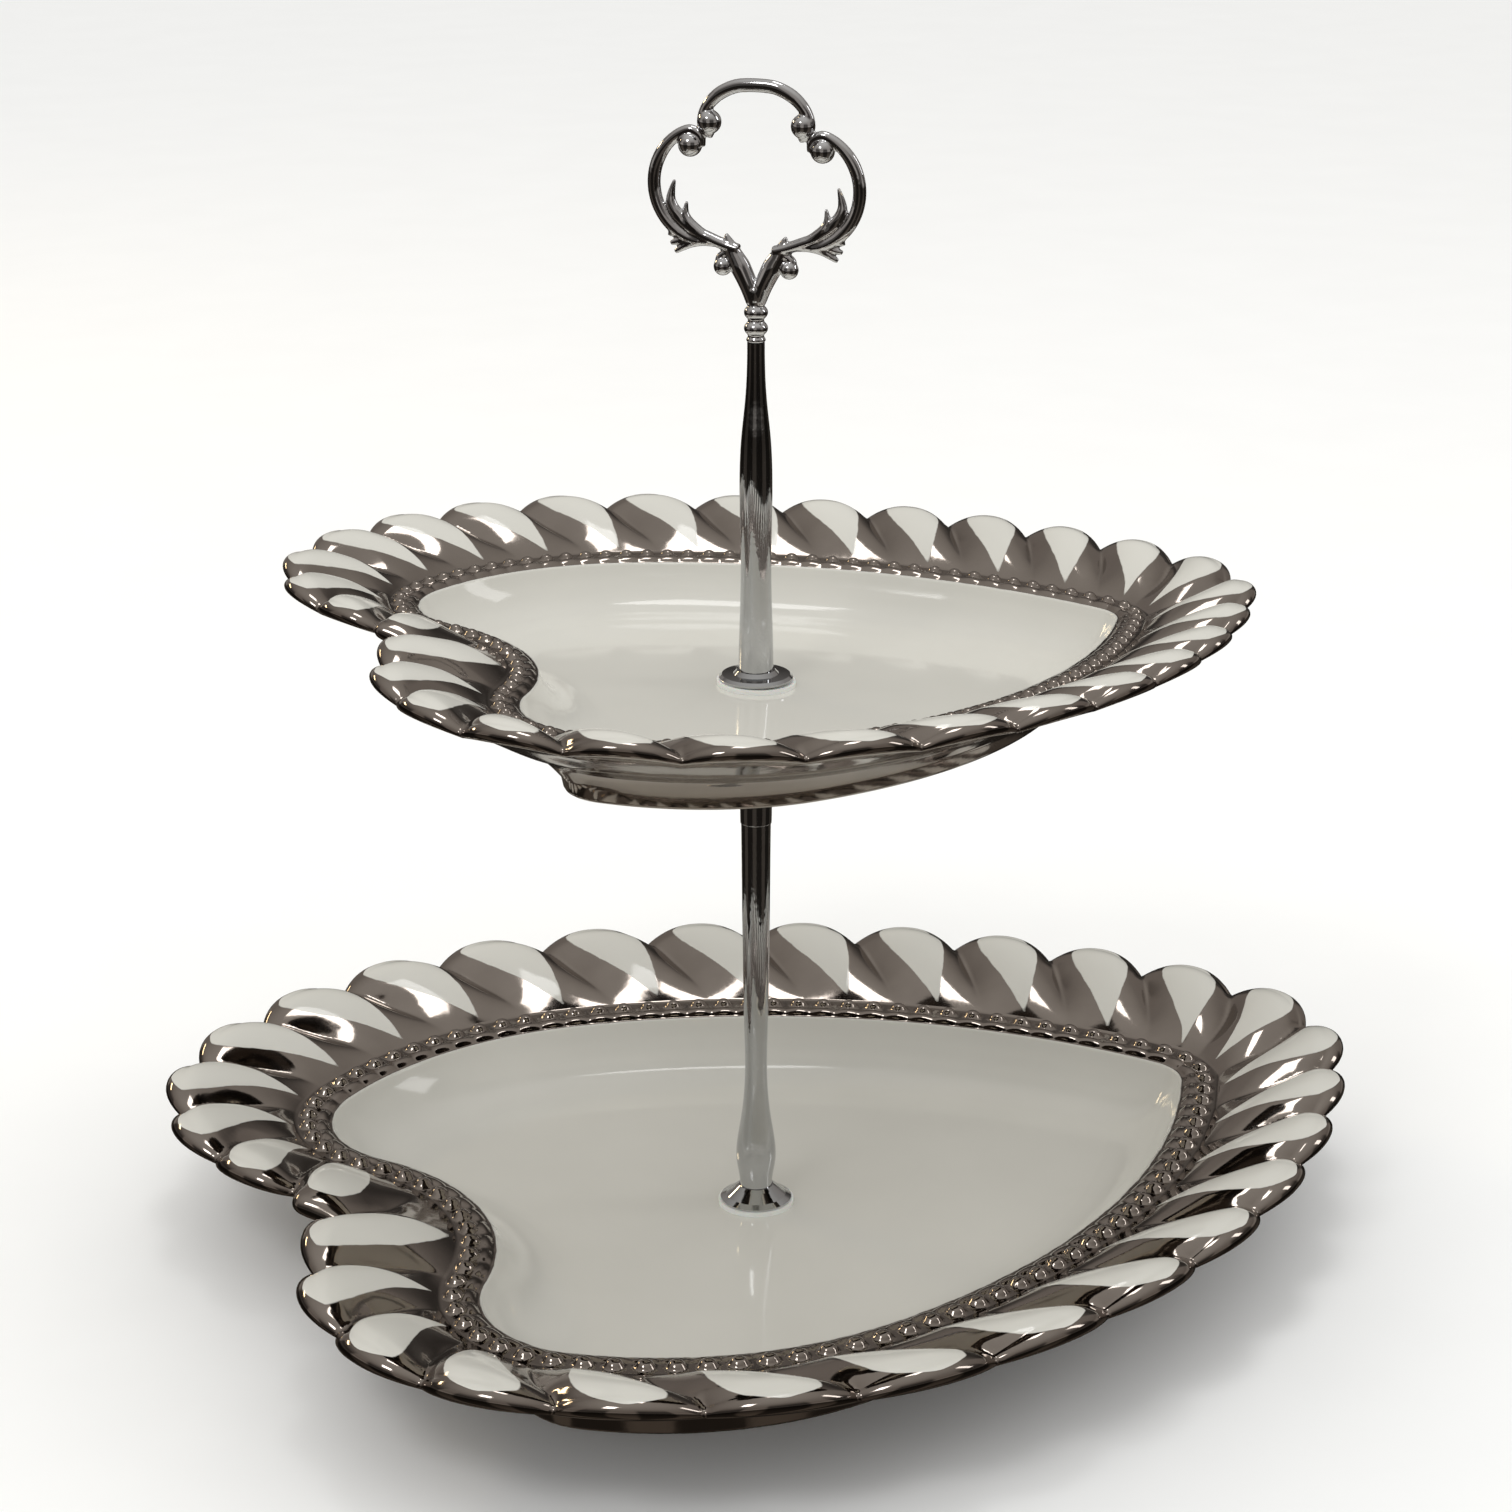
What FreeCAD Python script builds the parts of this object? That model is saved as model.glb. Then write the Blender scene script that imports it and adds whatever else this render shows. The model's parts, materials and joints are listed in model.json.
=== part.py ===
"""Two-tier heart-shaped cake stand: two glazed plates clamped on a screwed rod with a scrolled handle.

Millimetres, +Z up. The origin is on the surface the stand rests on, under the rod's axis, and the heart's
tip of the lower plate points along +X. Every driving dimension is a cell of the sheet "Dimensions".
"""
import FreeCAD
import Part
import Sketcher
import math
import os

doc = FreeCAD.newDocument("tiered_cake_stand")
sheet = doc.addObject("Spreadsheet::Sheet", "Dimensions")

DIMENSIONS = [
    # the heart, drawn at the bead line of the lower plate
    ("tip_radius", 20.0, "rounding of the heart's tip"),
    ("side_radius", 217.6, "long, slightly bowed side"),
    ("flank_radius", 107.7, "fuller bow behind the side"),
    ("shoulder_radius", 37.4, "round shoulder"),
    ("notch_radius", 59.0, "hollow between the shoulders"),
    ("tip_centre", 121.0, "centre of the tip's rounding, from the rod"),
    ("tip_turn", 32.1, "degrees of tip on each side of the middle line"),
    ("side_turn", 48.0, "degrees of side"),
    ("flank_turn", 47.4, "degrees of flank"),
    ("corner_least", 6.0, "smallest rounding of an offset outline"),
    ("notch_least", 42.0, "smallest hollow of a plate's outline in the notch"),
    # lower plate, outlines given as offsets from the bead line
    ("rim_width", 40.2, "bead line to the tips of the lobes"),
    ("lobe_depth", 5.5, "how far the lobes stand out past the valleys"),
    ("lobe_count", 30.0, "lobes around one plate"),
    ("lobe_line", 30.0, "offset of the line the lobes are spaced along"),
    ("lobe_phase", 0.06, "turn of the lobes, in lobes"),
    ("lobe_swing", 0.25, "drift of the spacing once round, in lobes"),
    ("lobe_crowding", 0.22, "drift twice round: lobes crowd at the tip and in the notch"),
    ("floor_height", 12.0, "top of the well's floor over the foot"),
    ("floor_thickness", 6.0, "well's floor"),
    ("bead_height", 15.7, "bead line over the well's floor"),
    ("rim_height", 28.4, "lobe tips over the well's floor"),
    ("wall_width", 20.8, "plan width of the curved wall of the well"),
    ("band_width", 6.2, "smooth band inside the beads"),
    ("foot_inset", 15.0, "outside of the foot, inside the bead line"),
    ("foot_ring", 6.0, "width of the foot's ring"),
    ("plate_hole", 7.0, "diameter of the drilled hole"),
    # upper plate
    ("upper_plan", 0.771, "plan of the upper plate over the lower"),
    ("upper_rise", 0.845, "rim heights of the upper plate over the lower"),
    ("upper_rim_width", 32.0, "bead line to the tips of the lobes"),
    ("upper_foot_inset", 21.0, "outside of the upper foot, inside its bead line"),
    ("upper_floor_height", 9.0, "top of the well's floor over its foot"),
    ("upper_floor_thickness", 5.0, "well's floor"),
    ("upper_turn", -4.0, "degrees the upper plate is turned from the lower"),
    ("upper_lean", 2.13, "degrees the upper plate leans between its soft washers"),
    ("upper_lean_side", -13.3, "degrees from +X of the side it leans to"),
    ("tier_spacing", 150.7, "well floor to well floor"),
    # washers
    ("washer_outer", 20.8, "plastic washers"),
    ("washer_bore", 6.0, "plastic washers"),
    ("top_washer_height", 1.2, "plastic washer on a well's floor"),
    ("under_washer_height", 1.0, "plastic washer under a plate"),
    ("metal_washer_outer", 22.0, "steel washers"),
    ("metal_washer_bore", 5.3, "steel washers"),
    ("metal_washer_height", 1.0, "steel washers"),
    ("gap", 0.1, "clearance between pieces that turn on each other"),
    # rods
    ("stud_diameter", 5.0, "threaded stud between the rods, and the base screw"),
    ("thread_play", 0.06, "radial clearance of a stud in its hole"),
    ("stud_engaged", 8.0, "thread length held in the lower rod"),
    ("stud_fixed", 10.0, "thread length held in the upper rod"),
    ("handle_stud_diameter", 2.5, "threaded stud of the handle"),
    ("handle_stud_engaged", 6.0, "thread length held in the upper rod"),
    ("handle_stud_fixed", 7.0, "thread length held in the handle"),
    ("tap_depth", 1.0, "space past the end of a stud"),
    ("lower_neck", 8.9, "lower rod over its flange"),
    ("lower_bulb", 10.8, "lower rod, swelling over the neck"),
    ("lower_waist", 6.2, "lower rod, thinnest"),
    ("lower_head", 8.6, "lower rod, top end"),
    ("lower_bulb_rise", 7.3, "height of the swelling over the flange"),
    ("lower_waist_rise", 31.4, "height of the waist over the flange"),
    ("lower_shaft", 6.5, "lower rod, where it starts to widen again"),
    ("lower_shaft_rise", 48.3, "height over the flange"),
    ("lower_shoulder", 8.1, "lower rod, near its top"),
    ("lower_shoulder_rise", 107.7, "height over the flange"),
    ("upper_heel", 9.2, "upper rod over its flange"),
    ("upper_slim", 8.0, "upper rod, over the heel"),
    ("upper_belly", 8.5, "upper rod, swelling"),
    ("upper_throat", 5.5, "upper rod, under the handle"),
    ("upper_top", 4.5, "upper rod, top end"),
    ("upper_rod_length", 87.0, "top of the upper flange to the handle"),
    ("upper_slim_rise", 26.0, "height over the flange"),
    ("upper_belly_rise", 50.5, "height over the flange"),
    ("upper_shoulder_rise", 62.0, "height over the flange"),
    ("upper_shoulder", 7.6, "upper rod, over the belly"),
    ("upper_throat_rise", 72.5, "height over the flange"),
    # flanges
    ("flange_outer", 19.6, "both flanges"),
    ("lower_flange_height", 4.2, "dished flange of the lower rod"),
    ("upper_flange_height", 2.4, "flange of the upper rod"),
    ("flange_lip", 0.5, "thickness at a flange's edge"),
    # base screw
    ("screw_head", 9.6, "pan head"),
    ("screw_head_height", 2.4, "pan head"),
    ("screw_engaged", 9.0, "thread length held in the lower rod"),
    ("screw_slot_width", 1.2, "driver slot"),
    ("screw_slot_depth", 1.1, "driver slot"),
    # handle
    ("handle_turn", -43.0, "degrees of the handle's plane from +X"),
    ("handle_bead", 6.2, "two round beads under the scrolls"),
    ("handle_bead_pitch", 4.2, "bead to bead"),
    ("handle_collar", 5.0, "rings between the beads"),
    ("handle_stem", 4.6, "stem over the beads"),
    ("handle_top", 56.2, "top of the scrolls over the stem's foot"),
    ("scroll_thick", 3.2, "depth of the scrolls, front to back"),
    ("scroll_band", 2.8, "width of the scrolls"),
    ("top_scroll", 13.4, "radius of the top scroll"),
    ("side_scroll", 14.8, "radius of the side scrolls"),
    ("side_scroll_x", 12.3, "centre of a side scroll from the middle"),
    ("side_scroll_z", 29.5, "centre of a side scroll over the stem's foot"),
    ("scroll_ball", 3.0, "radius of the balls that end the scrolls"),
    ("curl_ball", 2.3, "radius of the small curls beside the stem"),
]

for row, (alias, value, meaning) in enumerate(DIMENSIONS, start=1):
    sheet.set("A%d" % row, alias)
    sheet.set("B%d" % row, str(value))
    sheet.setAlias("B%d" % row, alias)
    sheet.set("C%d" % row, meaning)
doc.recompute()


def size(alias):
    """A dimension's value, as a plain number."""
    return float(sheet.get(alias))


def cell(alias):
    """A dimension's name in an expression."""
    return "Dimensions." + alias


# ---------------------------------------------------------------- heights along the rod
def upper_floor():
    return size("floor_height") + size("tier_spacing")


def upper_underside():
    return upper_floor() - size("upper_floor_thickness")


def lower_flange_foot():
    return size("floor_height") + size("top_washer_height") + size("gap")


def lower_rod_foot():
    return lower_flange_foot() + size("lower_flange_height")


def lean_room():
    """How far the edge of a soft washer rises or dips when it leans with the upper plate."""
    return size("washer_outer") / 2 * math.sin(math.radians(size("upper_lean")))


def lower_rod_top():
    washers = size("under_washer_height") + size("metal_washer_height")
    return upper_underside() - washers - size("gap") - lean_room()


def upper_flange_foot():
    return upper_floor() + size("top_washer_height") + size("gap") + lean_room()


def upper_rod_foot():
    return upper_flange_foot() + size("upper_flange_height")


def handle_foot():
    return upper_rod_foot() + size("upper_rod_length")


def base_washer_top():
    recess = size("floor_height") - size("floor_thickness")
    return recess - size("under_washer_height")


def standing(height, turn=0):
    """A placement on the rod's axis at a height, turned by degrees."""
    return FreeCAD.Placement(FreeCAD.Vector(0, 0, height), FreeCAD.Rotation(FreeCAD.Vector(0, 0, 1), turn))


def leant(piece):
    """Lean a standing piece of the upper tier about the middle of the well's floor."""
    across = direction(size("upper_lean_side") + 90)
    turn = FreeCAD.Rotation(across, size("upper_lean"))
    lean = FreeCAD.Placement(FreeCAD.Vector(), turn, FreeCAD.Vector(0, 0, upper_floor()))
    piece.Placement = lean.multiply(piece.Placement)
    return piece


# ---------------------------------------------------------------- the heart
def direction(degrees):
    angle = math.radians(degrees)
    return FreeCAD.Vector(math.cos(angle), math.sin(angle), 0)


def arc(centre, radius, start, end, rise):
    """An arc round centre from one direction to another, in degrees, at a height."""
    lift = FreeCAD.Vector(0, 0, rise)
    points = [centre + direction(turn) * radius + lift for turn in (start, (start + end) / 2, end)]
    return Part.Arc(*points).toShape()


def heart_arcs(offset, rise, plan, hollow="corner_least"):
    """The heart's outline, offset outwards from the bead line, as eight tangent arcs.

    plan scales the whole heart; offset is in real millimetres; hollow names the least radius in the notch.
    """
    least = size("corner_least") * plan
    turns = [size("tip_turn"), size("tip_turn") + size("side_turn")]
    turns.append(turns[1] + size("flank_turn"))
    radii = [size(name) * plan for name in ("tip_radius", "side_radius", "flank_radius", "shoulder_radius")]
    # each arc's centre lies on the line through the joint it shares with the arc before
    centre = FreeCAD.Vector(size("tip_centre") * plan, 0, 0)
    centres = []
    for number, turn in enumerate(turns):
        centre = centre + direction(turn) * (radii[number] - radii[number + 1])
        centres.append(centre)
    side, flank, shoulder = centres
    # a rounding that can't shrink further moves along the middle line and stays tangent
    tip_radius = max(radii[0] + offset, least)
    reach = radii[1] + offset - tip_radius
    tip = FreeCAD.Vector(side.x + math.sqrt(reach ** 2 - side.y ** 2), 0, 0)
    tip_end = math.degrees(math.atan2(-side.y, tip.x - side.x))
    notch_radius = max(size("notch_radius") * plan - offset, size(hollow) * plan)
    reach = radii[3] + offset + notch_radius
    notch = FreeCAD.Vector(shoulder.x - math.sqrt(reach ** 2 - shoulder.y ** 2), 0, 0)
    notch_end = math.degrees(math.atan2(-shoulder.y, notch.x - shoulder.x)) % 360
    half = [
        (side, radii[1] + offset, tip_end, turns[1]),
        (flank, radii[2] + offset, turns[1], turns[2]),
        (shoulder, radii[3] + offset, turns[2], notch_end),
    ]
    edges = [arc(tip, tip_radius, -tip_end, tip_end, rise)]
    edges += [arc(middle, radius, start, end, rise) for middle, radius, start, end in half]
    edges.append(arc(notch, notch_radius, notch_end - 180, 180 - notch_end, rise))
    for middle, radius, start, end in reversed(half):
        mirrored = FreeCAD.Vector(middle.x, -middle.y, 0)
        edges.append(arc(mirrored, radius, -end, -start, rise))
    return edges


def heart_solid(levels, plan):
    """The solid between heart outlines, given as (offset, height) from the lowest up."""
    wires = [Part.Wire(heart_arcs(offset, rise, plan, "notch_least")) for offset, rise in levels]
    return Part.makeLoft(wires, True, True)


def lobe_share(lobe):
    """Where a lobe's crest lies, as a share of the spacing line from the tip's middle."""
    share = lobe / size("lobe_count")
    # the drift is a small part of a lobe, so putting the share back in settles at once
    for _ in range(8):
        turn = 2 * math.pi * share
        drift = size("lobe_swing") * math.cos(turn) - size("lobe_crowding") * math.sin(2 * turn)
        share = (lobe + size("lobe_phase") + drift) / size("lobe_count")
    return share


def carried(arcs, lengths, share):
    """The point of an outline across from a share of the spacing line, whose arcs have these lengths."""
    along = (share * sum(lengths) + lengths[0] / 2) % sum(lengths)
    for edge, length in zip(arcs, lengths):
        if along <= length:
            start, end = edge.ParameterRange
            return edge.valueAt(start + (end - start) * along / length)
        along -= length
    return arcs[0].firstVertex().Point


def lobed_prism(rim, low, high, plan):
    """A prism whose outline is a ring of arcs, one a lobe, from valley to valley."""
    tips = heart_arcs(rim, low, plan, "notch_least")
    valleys = heart_arcs(rim - size("lobe_depth") * plan, low, plan)
    lengths = [edge.Length for edge in heart_arcs(size("lobe_line") * plan, low, plan)]
    edges = []
    for lobe in range(int(size("lobe_count"))):
        before = carried(valleys, lengths, lobe_share(lobe - 0.5))
        crest = carried(tips, lengths, lobe_share(lobe))
        after = carried(valleys, lengths, lobe_share(lobe + 0.5))
        edges.append(Part.Arc(before, crest, after).toShape())
    outline = Part.Wire(edges)
    return Part.Face(outline).extrude(FreeCAD.Vector(0, 0, high - low))


def plate(label, plan, rise, rim, floor_height, floor_thickness, foot_inset):
    """A heart-shaped plate: foot, well with a curved wall, sloping rim cut to a ring of lobes.

    Both profiles go from the middle outwards, in shares of the widths and rises of wall and rim.
    """
    wall = size("wall_width") * plan
    band = size("band_width") * plan
    bead_top = floor_height + size("bead_height") * rise
    rim_top = floor_height + size("rim_height") * rise
    wall_rise = bead_top - floor_height
    rim_rise = rim_top - bead_top
    outside = [
        (-foot_inset, 0),
        (-foot_inset + 1.0, floor_height * 0.4),
        (-foot_inset * 0.55, floor_height + wall_rise * 0.05),
        (0.04 * rim, floor_height + wall_rise * 0.42),
        (0.50 * rim, bead_top + rim_rise * 0.02),
        (0.90 * rim, rim_top - rim_rise * 0.45),
        (rim, rim_top - rim_rise * 0.18),
        (0.98 * rim, rim_top),
    ]
    hollow = [
        (-band - wall, floor_height),
        (-band - wall * 0.64, floor_height + wall_rise * 0.08),
        (-band - wall * 0.36, floor_height + wall_rise * 0.28),
        (-band - wall * 0.14, floor_height + wall_rise * 0.62),
        (-band, bead_top - 0.5),
        (0, bead_top),
        (0.96 * rim, rim_top),
        (1.00 * rim, rim_top + 1.0),
    ]
    recess_depth = floor_height - floor_thickness
    recess = [(-foot_inset - size("foot_ring"), -1.0), (-foot_inset - size("foot_ring"), recess_depth)]
    body = heart_solid(outside, plan)
    body = body.common(lobed_prism(rim, -1.0, rim_top + 1.0, plan))
    body = body.cut(heart_solid(hollow, plan))
    body = body.cut(heart_solid(recess, plan))
    hole = Part.makeCylinder(size("plate_hole") / 2, rim_top)
    body = body.cut(hole)
    item = doc.addObject("Part::Feature", label)
    item.Label = label
    item.Shape = body.Solids[0]
    return item


# ---------------------------------------------------------------- turned pieces
def turned(label, corners, height):
    """A PartDesign body turned about Z from a closed outline.

    Each corner is (radius, rise), two expressions on the sheet, in order round the outline.
    """
    body = doc.addObject("PartDesign::Body", label)
    body.Label = label
    sketch = body.newObject("Sketcher::SketchObject", label + "_outline")
    plane = [item for item in body.Origin.OriginFeatures if item.Role == "XZ_Plane"][0]
    sketch.AttachmentSupport = [(plane, "")]
    sketch.MapMode = "FlatFace"
    probe = doc.addObject("App::FeaturePython", "probe")
    probe.addProperty("App::PropertyFloat", "Value")
    points = []
    for corner in corners:
        point = []
        for expression in corner:
            probe.setExpression("Value", expression)
            probe.recompute()
            point.append(probe.Value)
        points.append(FreeCAD.Vector(point[0], point[1], 0))
    doc.removeObject("probe")
    count = len(points)
    for index in range(count):
        sketch.addGeometry(Part.LineSegment(points[index], points[(index + 1) % count]), False)
    for index in range(count):
        sketch.addConstraint(Sketcher.Constraint("Coincident", index, 2, (index + 1) % count, 1))
    for index, (radius, rise) in enumerate(corners):
        # a zero distance can't be a datum, so a corner on an axis is held to it
        for kind, value, text, axis in (("DistanceX", points[index].x, radius, -2),
                                        ("DistanceY", points[index].y, rise, -1)):
            if abs(value) < 1e-9:
                sketch.addConstraint(Sketcher.Constraint("PointOnObject", index, 1, axis))
                continue
            held = sketch.addConstraint(Sketcher.Constraint(kind, -1, 1, index, 1, value))
            name = "%s_%d" % (kind, index)
            sketch.renameConstraint(held, name)
            sketch.setExpression("Constraints." + name, text)
    turn = body.newObject("PartDesign::Revolution", label + "_turn")
    turn.Profile = sketch
    turn.ReferenceAxis = (sketch, ["V_Axis"])
    turn.Angle = 360
    sketch.Visibility = False
    body.Placement = standing(height)
    doc.recompute()
    return body


def washer(label, outer, bore, thick, height):
    """A flat washer standing on a height."""
    inside = cell(bore) + " / 2"
    outside = cell(outer) + " / 2"
    corners = [(inside, "0"), (outside, "0"), (outside, cell(thick)), (inside, cell(thick))]
    return turned(label, corners, height)


def stud(label, diameter, length, height):
    """A stud with a bevelled end, its crests as a plain cylinder."""
    outside = cell(diameter) + " / 2"
    inside = outside + " - 0.5"
    corners = [
        ("0", "0"),
        (inside, "0"),
        (outside, "0.5"),
        (outside, length + " - 0.5"),
        (inside, length),
        ("0", length),
    ]
    return turned(label, corners, height)


def rod(label, stations, holes, height):
    """A turned rod: a smooth outline through (rise, diameter) stations, with a blind hole in each end.

    Each hole is (rise of its mouth, depth, diameter); a negative depth goes down.
    """
    length = stations[-1][0]
    curve = Part.BSplineCurve()
    points = [FreeCAD.Vector(diameter / 2, 0, rise) for rise, diameter in stations]
    along = FreeCAD.Vector(0, 0, 1)
    curve.interpolate(Points=points, InitialTangent=along, FinalTangent=along)
    foot = FreeCAD.Vector(0, 0, 0)
    head = FreeCAD.Vector(0, 0, length)
    edges = [
        Part.makeLine(foot, points[0]),
        curve.toShape(),
        Part.makeLine(points[-1], head),
        Part.makeLine(head, foot),
    ]
    outline = doc.addObject("Part::Feature", label + "_outline")
    outline.Shape = Part.Face(Part.Wire(edges))
    turn = doc.addObject("Part::Revolution", label + "_turn")
    turn.Source = outline
    turn.Axis = (0, 0, 1)
    turn.Angle = 360
    turn.Solid = True
    base = turn
    for number, (rise, depth, diameter) in enumerate(holes):
        drill = doc.addObject("Part::Cylinder", "%s_drill_%d" % (label, number))
        drill.setExpression("Radius", "%s / 2 + %s" % (cell(diameter), cell("thread_play")))
        drill.setExpression("Height", depth + " + 1")
        at_top = rise > 0
        drill.setExpression("Placement.Base.z", "%.9g - (%s)" % (rise, depth) if at_top else "-1")
        cut = doc.addObject("Part::Cut", "%s_bore_%d" % (label, number))
        cut.Base = base
        cut.Tool = drill
        base = cut
    base.Label = label
    base.Placement = standing(height)
    return base


def lower_rod():
    length = lower_rod_top() - lower_rod_foot()
    bulb, bulb_rise = size("lower_bulb"), size("lower_bulb_rise")
    waist, waist_rise = size("lower_waist"), size("lower_waist_rise")
    stations = [
        (0, size("lower_neck")),
        (bulb_rise, bulb),
        ((bulb_rise + waist_rise) / 2, (bulb + waist) / 2),
        (waist_rise, waist),
        (size("lower_shaft_rise"), size("lower_shaft")),
        (size("lower_shoulder_rise"), size("lower_shoulder")),
        (length, size("lower_head")),
    ]
    holes = [
        (0, "%s + %s" % (cell("screw_engaged"), cell("tap_depth")), "stud_diameter"),
        (length, "%s + %s" % (cell("stud_engaged"), cell("tap_depth")), "stud_diameter"),
    ]
    return rod("lower_rod", stations, holes, lower_rod_foot())


def upper_rod():
    length = size("upper_rod_length")
    stations = [
        (0, size("upper_heel")),
        (size("upper_slim_rise"), size("upper_slim")),
        (size("upper_belly_rise"), size("upper_belly")),
        (size("upper_shoulder_rise"), size("upper_shoulder")),
        (size("upper_throat_rise"), size("upper_throat")),
        (length, size("upper_top")),
    ]
    holes = [
        (0, cell("stud_fixed"), "stud_diameter"),
        (length, "%s + %s" % (cell("handle_stud_engaged"), cell("tap_depth")), "handle_stud_diameter"),
    ]
    return rod("upper_rod", stations, holes, upper_rod_foot())


def lower_flange():
    """A dished, spun flange: a shallow cone with a turned lip, seated on its washer."""
    edge = cell("flange_outer") + " / 2"
    seat = cell("lower_neck") + " / 2"
    bore = "%s / 2 + %s" % (cell("stud_diameter"), cell("thread_play"))
    tall = cell("lower_flange_height")
    corners = [
        (bore, "0"),
        (edge, "0"),
        (edge, cell("flange_lip")),
        (edge + " - 1.6", cell("flange_lip") + " + 0.9"),
        (seat + " + 1.2", tall + " - 0.7"),
        (seat + " + 0.3", tall),
        (bore, tall),
    ]
    return turned("lower_rod_flange", corners, lower_flange_foot())


def upper_flange():
    """A flat flange with a bevelled edge and a low boss under the rod."""
    edge = cell("flange_outer") + " / 2"
    seat = cell("upper_heel") + " / 2"
    bore = "%s / 2 + %s" % (cell("stud_diameter"), cell("thread_play"))
    tall = cell("upper_flange_height")
    corners = [
        (bore, "0"),
        (edge, "0"),
        (edge, cell("flange_lip")),
        (edge + " - 0.8", "1.2"),
        (seat + " + 1.4", "1.4"),
        (seat + " + 0.4", tall),
        (bore, tall),
    ]
    return turned("upper_rod_flange", corners, upper_flange_foot())


def base_screw():
    """A slotted pan-head screw, up through the lower plate into the lower rod."""
    seat = base_washer_top() - size("metal_washer_height")
    head = size("screw_head_height")
    length = lower_rod_foot() + size("screw_engaged") - seat
    radius = cell("stud_diameter") + " / 2"
    wide = cell("screw_head") + " / 2"
    tall = cell("screw_head_height")
    corners = [
        ("0", "0"),
        (wide + " - 1.4", "0"),
        (wide + " - 0.3", "0.7"),
        (wide, "1.5"),
        (wide, tall),
        (radius, tall),
        (radius, "%s + %.9g - 0.5" % (tall, length)),
        (radius + " - 0.5", "%s + %.9g" % (tall, length)),
        ("0", "%s + %.9g" % (tall, length)),
    ]
    body = turned("base_screw", corners, 0)
    sketch = body.newObject("Sketcher::SketchObject", "base_screw_slot_outline")
    plane = [item for item in body.Origin.OriginFeatures if item.Role == "XY_Plane"][0]
    sketch.AttachmentSupport = [(plane, "")]
    sketch.MapMode = "FlatFace"
    half_long = size("screw_head") / 2 + 1
    half_wide = size("screw_slot_width") / 2
    signs = [(-1, -1), (1, -1), (1, 1), (-1, 1)]
    points = [FreeCAD.Vector(x * half_long, y * half_wide, 0) for x, y in signs]
    for index in range(4):
        sketch.addGeometry(Part.LineSegment(points[index], points[(index + 1) % 4]), False)
    for index in range(4):
        sketch.addConstraint(Sketcher.Constraint("Coincident", index, 2, (index + 1) % 4, 1))
    for index in (0, 2):
        sketch.addConstraint(Sketcher.Constraint("Horizontal", index))
    for index in (1, 3):
        sketch.addConstraint(Sketcher.Constraint("Vertical", index))
    sketch.addConstraint(Sketcher.Constraint("Symmetric", 0, 1, 2, 1, -1, 1))
    wide_slot = sketch.addConstraint(Sketcher.Constraint("DistanceY", 0, 1, 3, 1, 2 * half_wide))
    sketch.setExpression("Constraints[%d]" % wide_slot, cell("screw_slot_width"))
    long_slot = sketch.addConstraint(Sketcher.Constraint("DistanceX", 0, 1, 0, 2, 2 * half_long))
    sketch.setExpression("Constraints[%d]" % long_slot, cell("screw_head") + " + 2")
    slot = body.newObject("PartDesign::Pocket", "base_screw_slot")
    slot.Profile = sketch
    slot.setExpression("Length", cell("screw_slot_depth"))
    slot.Reversed = True
    sketch.Visibility = False
    body.Placement = standing(seat - head)
    return body


# ---------------------------------------------------------------- the handle
def ellipse_face(centre, across, along, normal, wide):
    """An elliptical section: across is its half width, along its half depth, wide its width's direction."""
    shape = Part.makeCircle(1.0)
    matrix = FreeCAD.Matrix()
    deep = normal.cross(wide)
    matrix.A11, matrix.A21, matrix.A31 = wide.x * across, wide.y * across, wide.z * across
    matrix.A12, matrix.A22, matrix.A32 = deep.x * along, deep.y * along, deep.z * along
    matrix.A13, matrix.A23, matrix.A33 = normal.x, normal.y, normal.z
    matrix.A14, matrix.A24, matrix.A34 = centre.x, centre.y, centre.z
    return Part.Face(Part.Wire([shape.transformGeometry(matrix)]))


def scroll(centre_x, centre_z, radius, start, end):
    """A bow of the handle: an elliptical section turned about (centre_x, centre_z), degrees from +X."""
    middle = FreeCAD.Vector(centre_x, 0, centre_z)
    out = FreeCAD.Vector(math.cos(math.radians(start)), 0, math.sin(math.radians(start)))
    tangent = FreeCAD.Vector(-out.z, 0, out.x)
    section = ellipse_face(
        middle + out * radius, size("scroll_band") / 2, size("scroll_thick") / 2, tangent, out
    )
    return section.revolve(middle, FreeCAD.Vector(0, -1, 0), end - start)


def ball(x, z, radius):
    return Part.makeSphere(radius, FreeCAD.Vector(x, 0, z))


def tapered(start, end, start_radius, end_radius):
    """A cone from one point of the handle's plane to another."""
    first = FreeCAD.Vector(start[0], 0, start[1])
    line = FreeCAD.Vector(end[0], 0, end[1]) - first
    if start_radius == end_radius:
        return Part.makeCylinder(start_radius, line.Length, first, line)
    return Part.makeCone(start_radius, end_radius, line.Length, first, line)


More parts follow.
